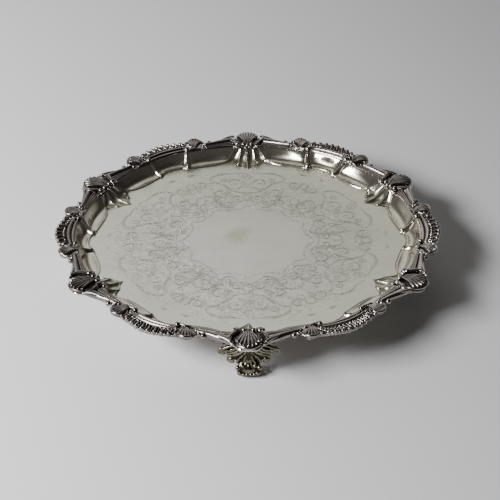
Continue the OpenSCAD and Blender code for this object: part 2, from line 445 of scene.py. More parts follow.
def silver(name, bright, dull, deep, rough, rough_deep, cav_lo, cav_hi, bump, patch=0.5, engraved=False):
    """Silver plate: bright on the high points, tarnished in the hollows (vertex attribute cav), with
    patchy film, fine wipe marks and slight hammer unevenness."""
    mat = bpy.data.materials.new(name)
    n = N(mat)
    out = n.new("ShaderNodeOutputMaterial")
    bs = n.new("ShaderNodeBsdfPrincipled")
    bs.inputs["Metallic"].default_value = 1.0
    n.link(bs.outputs[0], out.inputs[0])
    pos = n.new("ShaderNodeTexCoord").outputs["Object"]
    cav = n.new("ShaderNodeAttribute", attribute_name="cav", attribute_type="GEOMETRY").outputs["Fac"]
    film = n.noise(38, 5, 0.6, pos)
    fine = n.noise(420, 4, 0.6, pos)
    # wipe marks: noise stretched along one way
    mp = n.new("ShaderNodeMapping")
    mp.inputs["Scale"].default_value = (40, 900, 300)
    mp.inputs["Rotation"].default_value = (0, 0, 0.5)
    n.link(pos, mp.inputs["Vector"])
    wipe = n.noise(1.0, 3, 0.6, mp.outputs[0])
    c = n.math("ADD", cav, n.math("MULTIPLY", n.math("SUBTRACT", fine, 0.5), 0.35))
    c = n.math("ADD", c, n.math("MULTIPLY", n.math("SUBTRACT", film, 0.5), 0.5 * patch))
    deepf = n.ramp(c, [(cav_lo, 0.0), (cav_hi, 1.0)])
    filmf = n.ramp(film, [(0.38, 0.0), (0.68, 1.0)])
    col = n.mix(n.math("MULTIPLY", filmf, patch), bright, dull)
    col = n.mix(deepf, col, deep)
    r = n.math("ADD", n.math("MULTIPLY", deepf, rough_deep - rough), rough)
    r = n.math("ADD", r, n.math("MULTIPLY", n.math("SUBTRACT", film, 0.5), 0.16))
    r = n.math("ADD", r, n.math("MULTIPLY", n.math("SUBTRACT", wipe, 0.5), 0.10))
    if engraved:
        eng = n.new("ShaderNodeAttribute", attribute_name="eng", attribute_type="GEOMETRY").outputs["Fac"]
        e = n.ramp(eng, [(0.25, 0.0), (0.9, 1.0)])
        col = n.mix(n.math("MULTIPLY", e, 0.60), col, engraved)
        r = n.math("ADD", r, n.math("MULTIPLY", e, 0.12))
        # the finest scrollwork between the cut strokes: thin contour lines of a swirling field, only in the band; the
        # pale band beside each line is partly pattern and partly a painted glint
        band = n.new("ShaderNodeAttribute", attribute_name="band", attribute_type="GEOMETRY").outputs["Fac"]
        swirl = n.new("ShaderNodeTexNoise")
        swirl.inputs["Scale"].default_value = 125
        swirl.inputs["Detail"].default_value = 1.2
        swirl.inputs["Roughness"].default_value = 0.5
        swirl.inputs["Distortion"].default_value = 1.6
        n.link(pos, swirl.inputs["Vector"])
        pp = n.math("PINGPONG", n.math("MULTIPLY", swirl.outputs[0], 4.6), 0.5)
        lines = n.ramp(pp, [(0.04, 1.0), (0.19, 0.0)])
        light = n.ramp(pp, [(0.22, 0.0), (0.34, 1.0), (0.46, 0.0)])
        gaps = n.ramp(n.noise(75, 2, .5, pos), [(0.36, 0.15), (0.54, 1.0)])
        fl = n.math("MULTIPLY", n.math("MULTIPLY", lines, gaps), band)
        fh = n.math("MULTIPLY", n.math("MULTIPLY", light, gaps), band)
        col = n.mix(n.math("MULTIPLY", fl, 0.72), col, engraved)
        col = n.mix(n.math("MULTIPLY", fh, 0.85), col, (1.0, 1.0, 0.98))
        lace = n.new("ShaderNodeTexNoise")
        lace.inputs["Scale"].default_value = 200
        lace.inputs["Detail"].default_value = 2.0
        lace.inputs["Distortion"].default_value = 2.2
        n.link(pos, lace.inputs["Vector"])
        dark = n.ramp(lace.outputs[0], [(0.38, 1.0), (0.48, 0.0)])
        # the pale lace spots are partly pattern and partly a painted glint on the engraving
        pale = n.ramp(lace.outputs[0], [(0.53, 0.0), (0.64, 1.0)])
        col = n.mix(n.math("MULTIPLY", n.math("MULTIPLY", dark, band), 0.52), col, engraved)
        col = n.mix(n.math("MULTIPLY", n.math("MULTIPLY", pale, band), 0.90), col, (1.0, 1.0, 0.98))
        cloud = n.ramp(n.noise(22, 3, .55, pos), [(0.38, 0.0), (0.66, 1.0)])
        col = n.mix(n.math("MULTIPLY", n.math("MULTIPLY", cloud, band), 0.30), col, (0.50, 0.51, 0.47))
        st = n.new("ShaderNodeAttribute", attribute_name="stain", attribute_type="GEOMETRY").outputs["Fac"]
        col = n.mix(n.math("MULTIPLY", n.math("MULTIPLY", st, n.ramp(fine, [(0.3, 0.4), (0.7, 1.0)])), 1.0), col, (0.40, 0.40, 0.165))
        sx = n.new("ShaderNodeSeparateXYZ")
        n.link(pos, sx.inputs[0])
        rad2 = n.math("ADD", n.math("MULTIPLY", sx.outputs[0], sx.outputs[0]), n.math("MULTIPLY", sx.outputs[1], sx.outputs[1]))
        # painted shade: the floor is darkened towards the right, the back and the outer edge, away from the key light
        painted_shade_away_from_key = n.math("ADD", n.math("MULTIPLY", n.math("ADD", sx.outputs[0], sx.outputs[1]), 3.6), n.math("ADD", n.math("MULTIPLY", rad2, 20.0), 0.42), clamp=True)
        col = n.mix(n.math("MULTIPLY", painted_shade_away_from_key, 0.74), col, (0.33, 0.325, 0.255))
        col = n.mix(n.math("MULTIPLY", n.math("MULTIPLY", rad2, 90.0, clamp=True), 0.45), col, (0.74, 0.735, 0.60))
        wall = n.new("ShaderNodeAttribute", attribute_name="wall", attribute_type="GEOMETRY").outputs["Fac"]
        col = n.mix(n.math("MULTIPLY", wall, 0.80), col, n.mix(n.math("MULTIPLY", deepf, 0.72), (0.74, 0.675, 0.60), (0.10, 0.085, 0.06)))
        n.link(n.math("SUBTRACT", 1.0, n.math("MULTIPLY", wall, 0.05)), bs.inputs["Metallic"])
        r = n.math("SUBTRACT", r, n.math("MULTIPLY", wall, 0.14))
    else:
        sx = n.new("ShaderNodeSeparateXYZ")
        n.link(pos, sx.inputs[0])
        # painted shade: border and feet darkened towards the left and the front, by position only
        side = n.math("ADD", n.math("MULTIPLY", n.math("ADD", sx.outputs[0], n.math("MULTIPLY", sx.outputs[1], 0.35)), -3.0), 0.5, clamp=True)
        col = n.mix(n.math("MULTIPLY", side, 0.48), col, (0.07, 0.062, 0.058))
    n.link(col, bs.inputs["Base Color"])
    n.link(n.math("MAXIMUM", r, 0.06), bs.inputs["Roughness"])
    b1 = n.new("ShaderNodeBump")
    b1.inputs["Strength"].default_value = bump
    b1.inputs["Distance"].default_value = 0.0002
    h = n.math("ADD", n.math("MULTIPLY", n.noise(70, 3, 0.5, pos), 0.8), n.math("MULTIPLY", fine, 0.12))
    h = n.math("ADD", h, n.math("MULTIPLY", wipe, 0.05))
    n.link(h, b1.inputs["Height"])
    n.link(b1.outputs[0], bs.inputs["Normal"])
    return mat


M_TRAY = silver("tray_silver", (0.80, 0.80, 0.755), (0.69, 0.695, 0.635), (0.34, 0.32, 0.27), 0.24, 0.42, 0.56, 0.92, 0.35, 0.55,
                engraved=(0.36, 0.365, 0.33))
M_BORDER = silver("border_silver", (0.50, 0.465, 0.445), (0.27, 0.238, 0.222), (0.035, 0.029, 0.026), 0.20, 0.42, 0.46, 0.66, 0.5, 0.9)
M_FOOT = silver("foot_silver", (0.295, 0.275, 0.195), (0.165, 0.150, 0.095), (0.030, 0.027, 0.013), 0.19, 0.42, 0.47, 0.66, 0.5, 0.8)


# ------------------------------------------------------------------ tray wall and flange
def tray_surface():
    half = np.concatenate([np.linspace(0, 4, 33), np.linspace(4, 21, 25)[1:], np.linspace(21, 24, 19)[1:], np.linspace(24, 30, 10)[1:]])
    ang = []
    for s in range(6):
        c = 30 + 60 * s
        ang += [(c + t, t, 1) for t in half]
        ang += [(c + 60 - t, t, -1) for t in half[::-1][1:-1]]
        # the last value (t = 0) is the next shell's own first line
    a_mid = np.array([a[0] for a in ang])
    t = np.array([a[1] for a in ang])
    sg = np.array([a[2] for a in ang], float)
    centre = a_mid - sg * t
    q = np.concatenate([np.linspace(0, .16, 9), np.linspace(.16, .34, 4)[1:], np.linspace(.34, .78, 10)[1:], [.84, .91, .96, 1.0]])
    tf = spread(t)
    ri, ro = r_in(t), r_out(t) - 1.45
    x_fl = tf / 4.2
    scal = np.where(tf < 8.4, 2.2 * np.abs(np.sin(np.pi * x_fl)), 0)
    r0 = r_flo(tf) + scal
    rows = []
    for k, qq in enumerate(q):
        w = ri - r0
        r = r0 + w * qq
        a = tf + (t - tf) * qq
        z = FLOOR + WALL * cove(qq, t)
        d = w * qq                                   # distance from the floor edge, mm
        # chased line along the floor edge
        z = z - 0.50 * np.exp(-((d - 0.80) / 0.40) ** 2) + 0.42 * np.exp(-((d - 1.95) / 0.60) ** 2)
        # four hollow flutes under each shell, sharp arrises between them
        fl = np.abs(np.sin(np.pi * x_fl)) * (tf < 8.4)
        env = smooth01(qq / .15) * (1 - 0.45 * smooth01((qq - .45) / .5)) * (1 - smooth01((qq - .93) / .07))
        z = z - 1.35 * fl * env
        edge = np.exp(-((tf - 8.4) / .34) ** 2) + 0.6 * np.exp(-((tf - 4.2) / .22) ** 2) + .6 * np.exp(-(tf / .22) ** 2)
        z = z + 0.5 * edge * env
        # raised strap from the rim ball to the cusp
        kq = np.where(t > 22.4, 1 + (.71 - 1) * (1 - qq), 1 + (.88 - 1) * (1 - qq))
        dm = (t - 22.4) * np.pi / 180 * r * kq
        along = smooth01(qq / .07) * (1 - 0.45 * smooth01((qq - .35) / .6)) * (1 - smooth01((qq - .95) / .05))
        wid = 3.1 - 1.8 * qq ** .7
        strap = np.where(np.abs(dm) < wid, np.abs(np.cos(np.pi / 2 * dm / wid)) ** 1.1, 0)
        z = z + 1.75 * strap * along
        for at_q, lift in ((.09, .55), (.45, .35), (.84, .5)):
            z = z + lift * np.exp(-((qq - at_q) / .055) ** 2) * np.exp(-(dm / 1.25) ** 2)
        for side, dep in ((-1, .30), (1, .42)):
            z = z - dep * np.exp(-((dm - side * (wid + .45)) / .45) ** 2) * along
        lobe2 = np.sin(np.pi * np.clip((tf - 8.8) / 15.0, 0, 1)) + np.sin(np.pi * np.clip((tf - 25.2) / 9.6, 0, 1))
        z = z - 0.85 * lobe2 * smooth01(qq / .40) * (1 - smooth01((qq - .62) / .34))
        # a soft second step in the plain lobes, like a folded petal
        lob = smooth01((tf - 9.5) / 2) * (1 - smooth01((tf - 22.5) / 1.5))
        z = z - 0.18 * lob * np.exp(-((qq - .60) / .06) ** 2)
        if k == 0:
            z = np.full_like(r, FLOOR)
        aa = np.radians(centre + sg * a)
        rows.append(np.stack([r * np.cos(aa), r * np.sin(aa), z], -1))
    for fr in (.12, 1.0):
        r = ri + (ro - ri) * fr
        aa = np.radians(a_mid)
        rows.append(np.stack([r * np.cos(aa), r * np.sin(aa), np.full_like(r, FLZ)], -1))
    top = np.array(rows)
    rows = []
    for fr in (1.0, .3):
        r = ri + (ro - ri) * fr + (SHEET if fr < 1 else 0)
        aa = np.radians(a_mid)
        rows.append(np.stack([r * np.cos(aa), r * np.sin(aa), np.full_like(r, UNZ)], -1))
    qs = [1.0, .8, .66, .55, .42, .2, .07, 0.0]
    for qq in qs:
        w = ri - r0
        r = r0 + w * qq
        sl = WALL * cove_slope(qq, t) / w
        nn = np.sqrt(1 + sl * sl)
        a = tf + (t - tf) * qq
        z = FLOOR + WALL * cove(qq, t)
        fl = np.abs(np.sin(np.pi * x_fl)) * (tf < 8.4)
        env = smooth01(qq / .25) * (1 - 0.6 * smooth01((qq - .5) / .5))
        z = z - 1.5 * fl * env
        kq = np.where(t > 22.4, 1 + (.71 - 1) * (1 - qq), 1 + (.88 - 1) * (1 - qq))
        dm = (t - 22.4) * np.pi / 180 * r * kq
        z = z + 0.6 * np.exp(-(dm / 1.5) ** 2) * smooth01(qq / .15) * (qq < .99)
        if qq == 1.0:
            r = r + SHEET
            z = np.full_like(r, UNZ)
        elif qq == 0.0:
            z = np.full_like(r, FLOOR - SHEET)
        else:
            r = r + SHEET * sl / nn
            z = z - SHEET / nn
        aa = np.radians(centre + sg * a)
        rows.append(np.stack([r * np.cos(aa), r * np.sin(aa), z], -1))
    # one more ring just inside keeps the flat middle of the underside evenly shaded
    for inset in (0.6, 2.4):
        rows.append(np.stack([(r0 - inset) * np.cos(aa), (r0 - inset) * np.sin(aa), np.full_like(r0, FLOOR - SHEET)], -1))
    return top, np.array(rows)


# ------------------------------------------------------------------ engraving: strokes on the floor
STROKES = []          # (points (n, 2) in mm in the front sector, half widths (n,), depth)


def stroke(pts, w=0.26, depth=0.13, taper=(0.25, 0.25), step=0.9):
    p = np.asarray(pts, float)
    seg = np.linalg.norm(np.diff(p, axis=0), axis=1)
    length = seg.sum()
    if length < .6:
        return
    # few points where the line is straight, more where it turns
    s = np.concatenate([[0], np.cumsum(seg)])
    d = np.diff(p, axis=0)
    turn = np.zeros(len(p))
    if len(p) > 2:
        h = np.unwrap(np.arctan2(d[:, 1], d[:, 0]))
        turn[1:-1] = np.abs(np.diff(h))
    work = np.cumsum(turn) / math.radians(40) + s / 14.0
    n = max(3, int(math.ceil(work[-1])) + 1)
    u = np.interp(np.linspace(0, work[-1], n), work, s)
    q = np.stack([np.interp(u, s, p[:, 0]), np.interp(u, s, p[:, 1])], -1)
    x = np.linspace(0, 1, n)
    hw = w * (taper[0] + (1 - taper[0]) * smooth01(x / .3)) * (taper[1] + (1 - taper[1]) * smooth01((1 - x) / .3))
    STROKES.append((q, hw * 1.45, depth * 0.95))


def spiral(c, r0, a0, turns, r1=0.35, n=40, hand=1):
    u = np.linspace(0, 1, n)
    r = r0 * (1 - u) ** 0.8 + r1 * u
    a = np.radians(a0) + hand * 2 * math.pi * turns * u
    return np.stack([c[0] + r * np.cos(a), c[1] + r * np.sin(a)], -1)


def arc(c, r, a0, a1, n=30):
    a = np.radians(np.linspace(a0, a1, n))
    return np.stack([c[0] + r * np.cos(a), c[1] + r * np.sin(a)], -1)


def leaf2(base, ang, length, width, veins=4, bend=0.0, w=.22):
    """An engraved leaf: two curved sides, a midrib and veins."""
    u = np.linspace(0, 1, 22)
    a = math.radians(ang)
    d = np.array([math.cos(a), math.sin(a)])
    e = np.array([-d[1], d[0]])
    mid = np.array(base) + np.outer(u * length, d) + np.outer(bend * length * u * u, e)
    half = width * np.sin(np.pi * u ** 0.8) * (1 - .15 * u)
    stroke(mid + half[:, None] * e, w)
    stroke(mid - half[:, None] * e, w)
    stroke(mid[2:], w * .8)
    for k in range(veins):
        i = int(4 + 14 * (k + .4) / veins)
        s = 1 if k % 2 else -1
        tip = mid[min(i + 3, 21)] + s * .8 * half[min(i + 3, 21)] * e
        stroke(np.linspace(mid[i], tip, 6), w * .8)


def acanthus(base, ang, length, width, lobes=4, w=.24, hand=1):
    """A leaf with lobed edges: a chain of small arcs on each side."""
    a = math.radians(ang)
    d = np.array([math.cos(a), math.sin(a)])
    e = np.array([-d[1], d[0]])
    u = np.linspace(0, 1, 24)
    mid = np.array(base) + np.outer(u * length, d) + np.outer(hand * .18 * length * u * u, e)
    stroke(mid, w)
    for s in (-1, 1):
        prev = mid[0]
        for k in range(lobes):
            i = int(23 * (k + 1) / lobes)
            tip = mid[i] + s * e * width * math.sin(math.pi * min(.93, (k + .9) / lobes)) ** .8
            ctrl = (prev + tip) / 2 + s * e * width * .42
            t = np.linspace(0, 1, 10)[:, None]
            stroke((1 - t) ** 2 * prev + 2 * t * (1 - t) * ctrl + t * t * tip, w)
            if (k + (s > 0)) % 2:
                stroke(np.linspace(mid[max(0, i - 5)], tip * .75 + mid[i] * .25, 7), w * .8)
            prev = tip * .55 + mid[i] * .45


def flower(c, r, petals=6, w=.2, turn=0):
    for k in range(petals):
        a = turn + 360 * k / petals
        pc = (c[0] + .62 * r * math.cos(math.radians(a)), c[1] + .62 * r * math.sin(math.radians(a)))
        stroke(arc(pc, .40 * r, a - 130, a + 130, 14), w)
    stroke(arc(c, .24 * r, 0, 350, 12), w)


def cscroll(p0, p1, bulge, curl=2.6, w=.34, turns=1.15, double=True):
    """A rococo C-scroll from p0 to p1, its ends curling in."""
    p0, p1 = np.array(p0, float), np.array(p1, float)
    m = (p0 + p1) / 2
    d = p1 - p0
    length = np.linalg.norm(d)
    e = np.array([-d[1], d[0]]) / length
    u = np.linspace(0, 1, 30)
    c = m + e * bulge
    t = u[:, None]
    main = (1 - t) ** 2 * p0 + 2 * t * (1 - t) * (c + e * bulge) + t * t * p1
    hand = 1 if bulge > 0 else -1
    for end, nxt in ((main[0], main[1]), (main[-1], main[-2])):
        dirv = end - nxt
        dirv /= np.linalg.norm(dirv)
        h = -hand if end is main[0] else hand
        h = hand if np.allclose(end, main[0]) else -hand
        nrm = np.array([-dirv[1], dirv[0]]) * h
        cc = end + nrm * curl
        a0 = math.degrees(math.atan2(*(end - cc)[::-1]))
        stroke(spiral(cc, curl, a0, turns, .5, 36, hand=h), w, taper=(1, .4))
    stroke(main, w, taper=(1, 1))
    if double:
        inner = main - e * .95 * np.sin(np.pi * u)[:, None] * (1 if bulge > 0 else -1)
        stroke(inner[3:-3], w * .6)


def hatch(c, ax, by, ang, pitch=1.9, w=.17):
    """A diaper panel: crossed lines inside an ellipse."""
    ca, sa = math.cos(math.radians(ang)), math.sin(math.radians(ang))
    for turn in (45, -45):
        dx, dy = math.cos(math.radians(turn)), math.sin(math.radians(turn))
        for k in np.arange(-12, 12.5):
            o = k * pitch
            # points along the line, inside the ellipse
            s = np.linspace(-16, 16, 120)
            x, y = -dy * o + dx * s, dx * o + dy * s
            m = (x / ax) ** 2 + (y / by) ** 2 < 1
            if m.sum() > 6:
                xx, yy = x[m][[0, -1]], y[m][[0, -1]]
                p = np.stack([c[0] + xx * ca - yy * sa, c[1] + xx * sa + yy * ca], -1)
                stroke(np.linspace(p[0], p[1], 5), w, depth=.09, taper=(.8, .8), step=2.5)
    t = np.linspace(0, 2 * math.pi, 60)
    for f in (1.0, 1.16):
        stroke(np.stack([c[0] + ax * f * np.cos(t) * ca - by * f * np.sin(t) * sa, c[1] + ax * f * np.cos(t) * sa + by * f * np.sin(t) * ca], -1), .24, taper=(1, 1))


def P2(t, rf):
    """Front sector plan point: t degrees from the front shell axis, rf as a fraction of R."""
    a = math.radians(t)
    return np.array([rf * R * math.sin(a), -rf * R * math.cos(a)])


def fringe(path, side, n, length, lean=35, w=.2, start=.08, end=.95, g=None):
    """Short curved cuts fanning off one side of a line, like the lobes of a leaf."""
    path = np.asarray(path, float)
    seg = np.concatenate([[0], np.cumsum(np.linalg.norm(np.diff(path, axis=0), axis=1))])
    for i in range(n):
        u = start + (end - start) * (i + .5) / n
        at = u * seg[-1]
        p = np.array([np.interp(at, seg, path[:, 0]), np.interp(at, seg, path[:, 1])])
        q = np.array([np.interp(at + .4, seg, path[:, 0]), np.interp(at + .4, seg, path[:, 1])]) if at + .4 < seg[-1] else p * 2 - np.array(
            [np.interp(at - .4, seg, path[:, 0]), np.interp(at - .4, seg, path[:, 1])])
        d = (q - p) / (np.linalg.norm(q - p) + 1e-9)
        e = np.array([-d[1], d[0]]) * side
        le = length * math.sin(math.pi * (.12 + .82 * (i + .5) / n)) ** .6 * (g.uniform(.8, 1.2) if g is not None else 1)
        c, s_ = math.cos(math.radians(lean)), math.sin(math.radians(lean))
        tip = p + (e * c + d * s_) * le
        mid = (p + tip) / 2 + d * le * -.16
        t = np.linspace(0, 1, 4)[:, None]
        stroke((1 - t) ** 2 * (p + e * .35) + 2 * t * (1 - t) * mid + t * t * tip, w, taper=(.9, .35))


def scroll(c, r0, a0, turns, hand, g, w=.32, n_fr=12, fr=2.6, double=True):
    """A leafy volute: spiral stem, a second line inside and lobes outside."""
    p = spiral(c, r0, a0, turns, .5, 50, hand)
    stroke(p, w, taper=(.6, .6))
    if double:
        stroke(spiral(c, r0 * .8, a0 + 8 * hand, turns * .6, r0 * .34, 34, hand), w * .65)
    fringe(p[:34], -hand, n_fr, fr, 40, w * .75, g=g)


def engrave_sector(k):
    """One sixth of the band, drawn about the front axis; k varies the hand a little."""
    start = len(STROKES)
    g = np.random.default_rng(100 + k)

    def j(s=.5):
        return g.normal(0, s, 2)
    for m in (1, -1):
        def Q(t, rf):
            return P2(m * t, rf)

        def out(t):
            return math.degrees(math.atan2(*Q(t, 1)[::-1]))
        # large facing volutes on the axis, others along the band
        scroll(Q(6.6, .565) + j(), 8.6, out(6.6) + m * 100, 1.6, m, g, .36, 15, 2.8)
        scroll(Q(17.0, .485) + j(), 7.0, out(17) - m * 60, 1.5, -m, g, .33, 12, 2.6)
        scroll(Q(24.2, .60) + j(), 6.0, out(24) + m * 30, 1.5, m, g, .32, 11, 2.2)
        scroll(Q(7.6, .405) + j(), 5.6, out(8) - m * 120, 1.4, -m, g, .3, 10, 2.2)
        scroll(Q(25.0, .395) + j(), 5.2, out(25) + m * 160, 1.4, m, g, .3, 10, 2.1)
        scroll(Q(15.5, .375) + j(), 3.9, out(15) + m * 40, 1.3, m, g, .28, 8, 1.8)
        # the concentric loops near the edge
        for f, w in ((6.6, .34), (5.5, .2), (4.5, .17)):
            stroke(arc(Q(25.2, .675), f, out(25) - m * 95, out(25) + m * 100, 30), w)
        # C-scrolls that frame the panels
        main = spline([Q(2.0, .675), Q(6.5, .662), Q(11.5, .672), Q(16.5, .655), Q(19.5, .615)], 40)
        stroke(main, .34, taper=(.7, .5))
        stroke(main[4:-4] * .985, .2)
        fringe(main, -m, 16, 2.3, 45, .22, g=g)
        fringe(main, m, 9, 1.6, 45, .18, start=.3, g=g)
        main = spline([Q(1.5, .47), Q(5.5, .475), Q(10, .505), Q(13.0, .56), Q(17.0, .60), Q(21, .60)], 44)
        stroke(main, .3, taper=(.6, .5))
        fringe(main, m, 13, 2.4, 50, .22, g=g)
        fringe(main, -m, 9, 1.9, 50, .18, start=.25, g=g)
        main = spline([Q(10.5, .345), Q(14, .33), Q(19, .345), Q(22.5, .40), Q(23.5, .455), Q(27.5, .485), Q(29.6, .47)], 44)
        stroke(main, .3, taper=(.5, .5))
        fringe(main, m, 12, 2.2, 50, .2, g=g)
        fringe(main, -m, 11, 2.0, 50, .2, g=g)
        main = spline([Q(12.5, .425), Q(14.8, .43), Q(18.5, .405), Q(20.5, .42), Q(21.8, .47), Q(20.5, .535), Q(22, .55)], 40)
        stroke(main, .26)
        fringe(main, m, 10, 1.9, 40, .18, g=g)
        # inner garland along the blank middle
        main = spline([Q(0.5, .335), Q(3.5, .325), Q(7, .31), Q(11, .305), Q(15, .312)], 24)
        stroke(main, .26)
        fringe(main, m, 9, 1.7, 30, .18, g=g)
        main = spline([Q(29.8, .34), Q(26, .33), Q(22, .315), Q(18, .306), Q(14.5, .315)], 24)
        stroke(main, .26)
        fringe(main, -m, 9, 1.7, 30, .18, g=g)
        # small blossoms where stems meet
        flower(Q(12.3, .605) + j(), 2.9, 5, .24, g.uniform(0, 70))
        flower(Q(21.2, .445) + j(), 2.5, 5, .22, g.uniform(0, 70))
        acanthus(Q(10.5, .44), out(10) + m * 25, 8.5, 2.9, 4, hand=m)
        acanthus(Q(28.0, .54), out(28) - m * 12, 8.0, 2.6, 3, hand=-m)
    hatch(P2(0, .425), 3.6, 5.6, 0)
    acanthus(P2(0, .60), -90, 10.5, 3.8, 5)
    leaf2(P2(0, .51), -90, 8, 2.2, 4)
    hatch(P2(30, .605), 3.6, 4.6, 30)
    leaf2(P2(30, .42), -60, 7, 2.0, 3)
    part = STROKES[start:]
    a = math.radians(60 * k)
    c, s = math.cos(a), math.sin(a)
    for i, (q, hw, d) in enumerate(part):
        STROKES[start + i] = (np.stack([q[:, 0] * c - q[:, 1] * s, q[:, 0] * s + q[:, 1] * c], -1), hw, d)


def build_tray():
    top, under = tray_surface()
    nr, na = top.shape[:2]
    ring = top[0][:, :2]
    ring_r = np.hypot(ring[:, 0], ring[:, 1])
    for k in range(6):
        engrave_sector(k)
    pts, edges, groove = [tuple(p) for p in ring], [(i, (i + 1) % na) for i in range(na)], []
    ring_a = np.arctan2(ring[:, 1], ring[:, 0])
    order = np.argsort(ring_a)

    def limit(p):
        a = np.arctan2(p[:, 1], p[:, 0])
        return np.interp(a, ring_a[order], ring_r[order], period=2 * math.pi) - 1.2
    samples, half, depth = [], [], []
    for q, hw, d in STROKES:
        r = np.hypot(q[:, 0], q[:, 1])
        if np.any(r > limit(q)):
            continue
        tan = np.gradient(q, axis=0)
        tan /= np.linalg.norm(tan, axis=1)[:, None] + 1e-9
        nrm = np.stack([-tan[:, 1], tan[:, 0]], -1)
        base = len(pts)
        n = len(q)
        for off in (-1, 0, 1):
            pts += [tuple(p) for p in q + nrm * (hw * off)[:, None]]
            edges += [(base + (off + 1) * n + i, base + (off + 1) * n + i + 1) for i in range(n - 1)]
        edges += [(base, base + n), (base + n, base + 2 * n), (base + n - 1, base + 2 * n - 1), (base + 2 * n - 1, base + 3 * n - 1)]
        fine = np.linspace(0, n - 1, n * 3)
        samples.append(np.stack([np.interp(fine, np.arange(n), q[:, 0]), np.interp(fine, np.arange(n), q[:, 1])], -1))
        half.append(np.interp(fine, np.arange(n), hw))
        depth.append(np.full(n * 3, d))
    # a line just inside the edge, then a few rings of plain points, keep the flat triangles compact
    base = len(pts)
    inner = ring[::2] * (1 - .8 / ring_r[::2])[:, None]
    pts += [tuple(p) for p in inner]
    edges += [(base + i, base + (i + 1) % len(inner)) for i in range(len(inner))]
    for rr, m in ((6, 10), (14, 22), (24, 32), (34, 48), (42, 90), (45, 96), (48, 100), (98, 180), (103, 200)):
        for i in range(m):
            a = 2 * math.pi * (i + .5 * (m % 2)) / m
            pts.append((rr * math.cos(a), rr * math.sin(a)))
    out = geometry.delaunay_2d_cdt([Vector(p) for p in pts], edges, [], 1, 1e-5, True)
    vc = np.array([tuple(v) for v in out[0]])
    faces, orig = out[2], out[3]
    samples, half, depth = np.concatenate(samples), np.concatenate(half), np.concatenate(depth)
    from mathutils import kdtree
    kd = kdtree.KDTree(len(samples))
    for i, s in enumerate(samples):
        kd.insert((s[0], s[1], 0), i)
    kd.balance()
    zc, eng = np.zeros(len(vc)), np.zeros(len(vc))
    for i, p in enumerate(vc):
        best = 0.0
        for co, idx, dist in kd.find_range((p[0], p[1], 0), 0.42):
            f = 1 - max(0.0, dist - .06) / half[idx] if half[idx] > 0 else 0
            if f > 0:
                best = max(best, min(1.0, f) * depth[idx] * min(1, half[idx] / .2))
        zc[i], eng[i] = -best, min(1, best / .12)
    # output vertex of each ring vertex
    ring_of = {}
    for i, o in enumerate(orig):
        for k in o:
            if k < na:
                ring_of[i] = k
    verts = [top.reshape(-1, 3)]
    nt = nr * na
    idx = {}
    extra, extra_eng = [], []
    for i in range(len(vc)):
        if i in ring_of:
            idx[i] = ring_of[i]
        else:
            idx[i] = nt + len(extra)
            extra.append((vc[i][0], vc[i][1], FLOOR + zc[i]))
            extra_eng.append(eng[i])
    verts.append(np.array(extra))
    nb = nt + len(extra)
    verts.append(under.reshape(-1, 3))
    verts.append(np.array([[0, 0, FLOOR - SHEET]]))
    nu = under.shape[0]
    f_floor = []
    for f in faces:
        m = vc[list(f)].mean(0)
        if math.hypot(*m) < np.interp(math.atan2(m[1], m[0]), ring_a[order], ring_r[order], period=2 * math.pi):
            f_floor.append(tuple(idx[i] for i in f))
    f_wall = []
    for i in range(nr - 1):
        for j in range(na):
            k = (j + 1) % na
            f_wall.append((i * na + j, (i + 1) * na + j, (i + 1) * na + k, i * na + k))
    f_under = []
    for j in range(na):
        k = (j + 1) % na
        f_under.append(((nr - 1) * na + j, nb + j, nb + k, (nr - 1) * na + k))
        for i in range(nu - 1):
            f_under.append((nb + i * na + j, nb + (i + 1) * na + j, nb + (i + 1) * na + k, nb + i * na + k))
        c = nb + nu * na
        f_under.append((c, nb + (nu - 1) * na + k, nb + (nu - 1) * na + j))
    v = np.concatenate(verts)
    me = bpy.data.meshes.new("tray")
    me.from_pydata((v * .001).tolist(), [], f_floor + f_wall + f_under)
    flat = np.ones(len(me.polygons), bool)
    flat[:len(f_floor)] = False
    me.polygons.foreach_set("use_smooth", flat)
    bm = bmesh_new(me)
    me.update()
    e = np.zeros(len(v), np.float32)
    e[nt:nb] = extra_eng
    at = me.attributes.new("eng", "FLOAT", "POINT")
    at.data.foreach_set("value", e)
    ww = np.clip(np.concatenate([np.interp(np.arange(nr), [0, 3, nr - 3], [0, .45, 1])[:, None].repeat(na, 1).ravel(), np.zeros(nb - nt), np.ones(len(v) - nb)]), 0, 1)
    off = np.abs((np.degrees(np.arctan2(v[:, 1], v[:, 0])) - 30 + 30) % 60 - 30)
    fan = .72 * (1 - smooth01((off - 5.2) / 3.0)) * (1 - smooth01((np.hypot(v[:, 0], v[:, 1]) / R - .80) / .05))
    fan[nb:] = 0                                     # the underside has one even tone
    ww *= 1 - fan
    at = me.attributes.new("wall", "FLOAT", "POINT")
    at.data.foreach_set("value", ww.astype(np.float32))
    # how strongly the floor is decorated, scalloped inside and out
    th = np.arctan2(v[:, 1], v[:, 0])
    rr = np.hypot(v[:, 0], v[:, 1]) / R
    r_a = .300 + .012 * np.cos(6 * (th + math.pi / 2))
    r_b = .685 - .030 * np.cos(6 * (th + math.pi / 2 - math.pi / 6)) ** 2
    bd = smooth01((rr - r_a) / .02) * (1 - smooth01((rr - r_b) / .04))
    bd[:na] = 0
    at = me.attributes.new("band", "FLOAT", "POINT")
    at.data.foreach_set("value", bd.astype(np.float32))
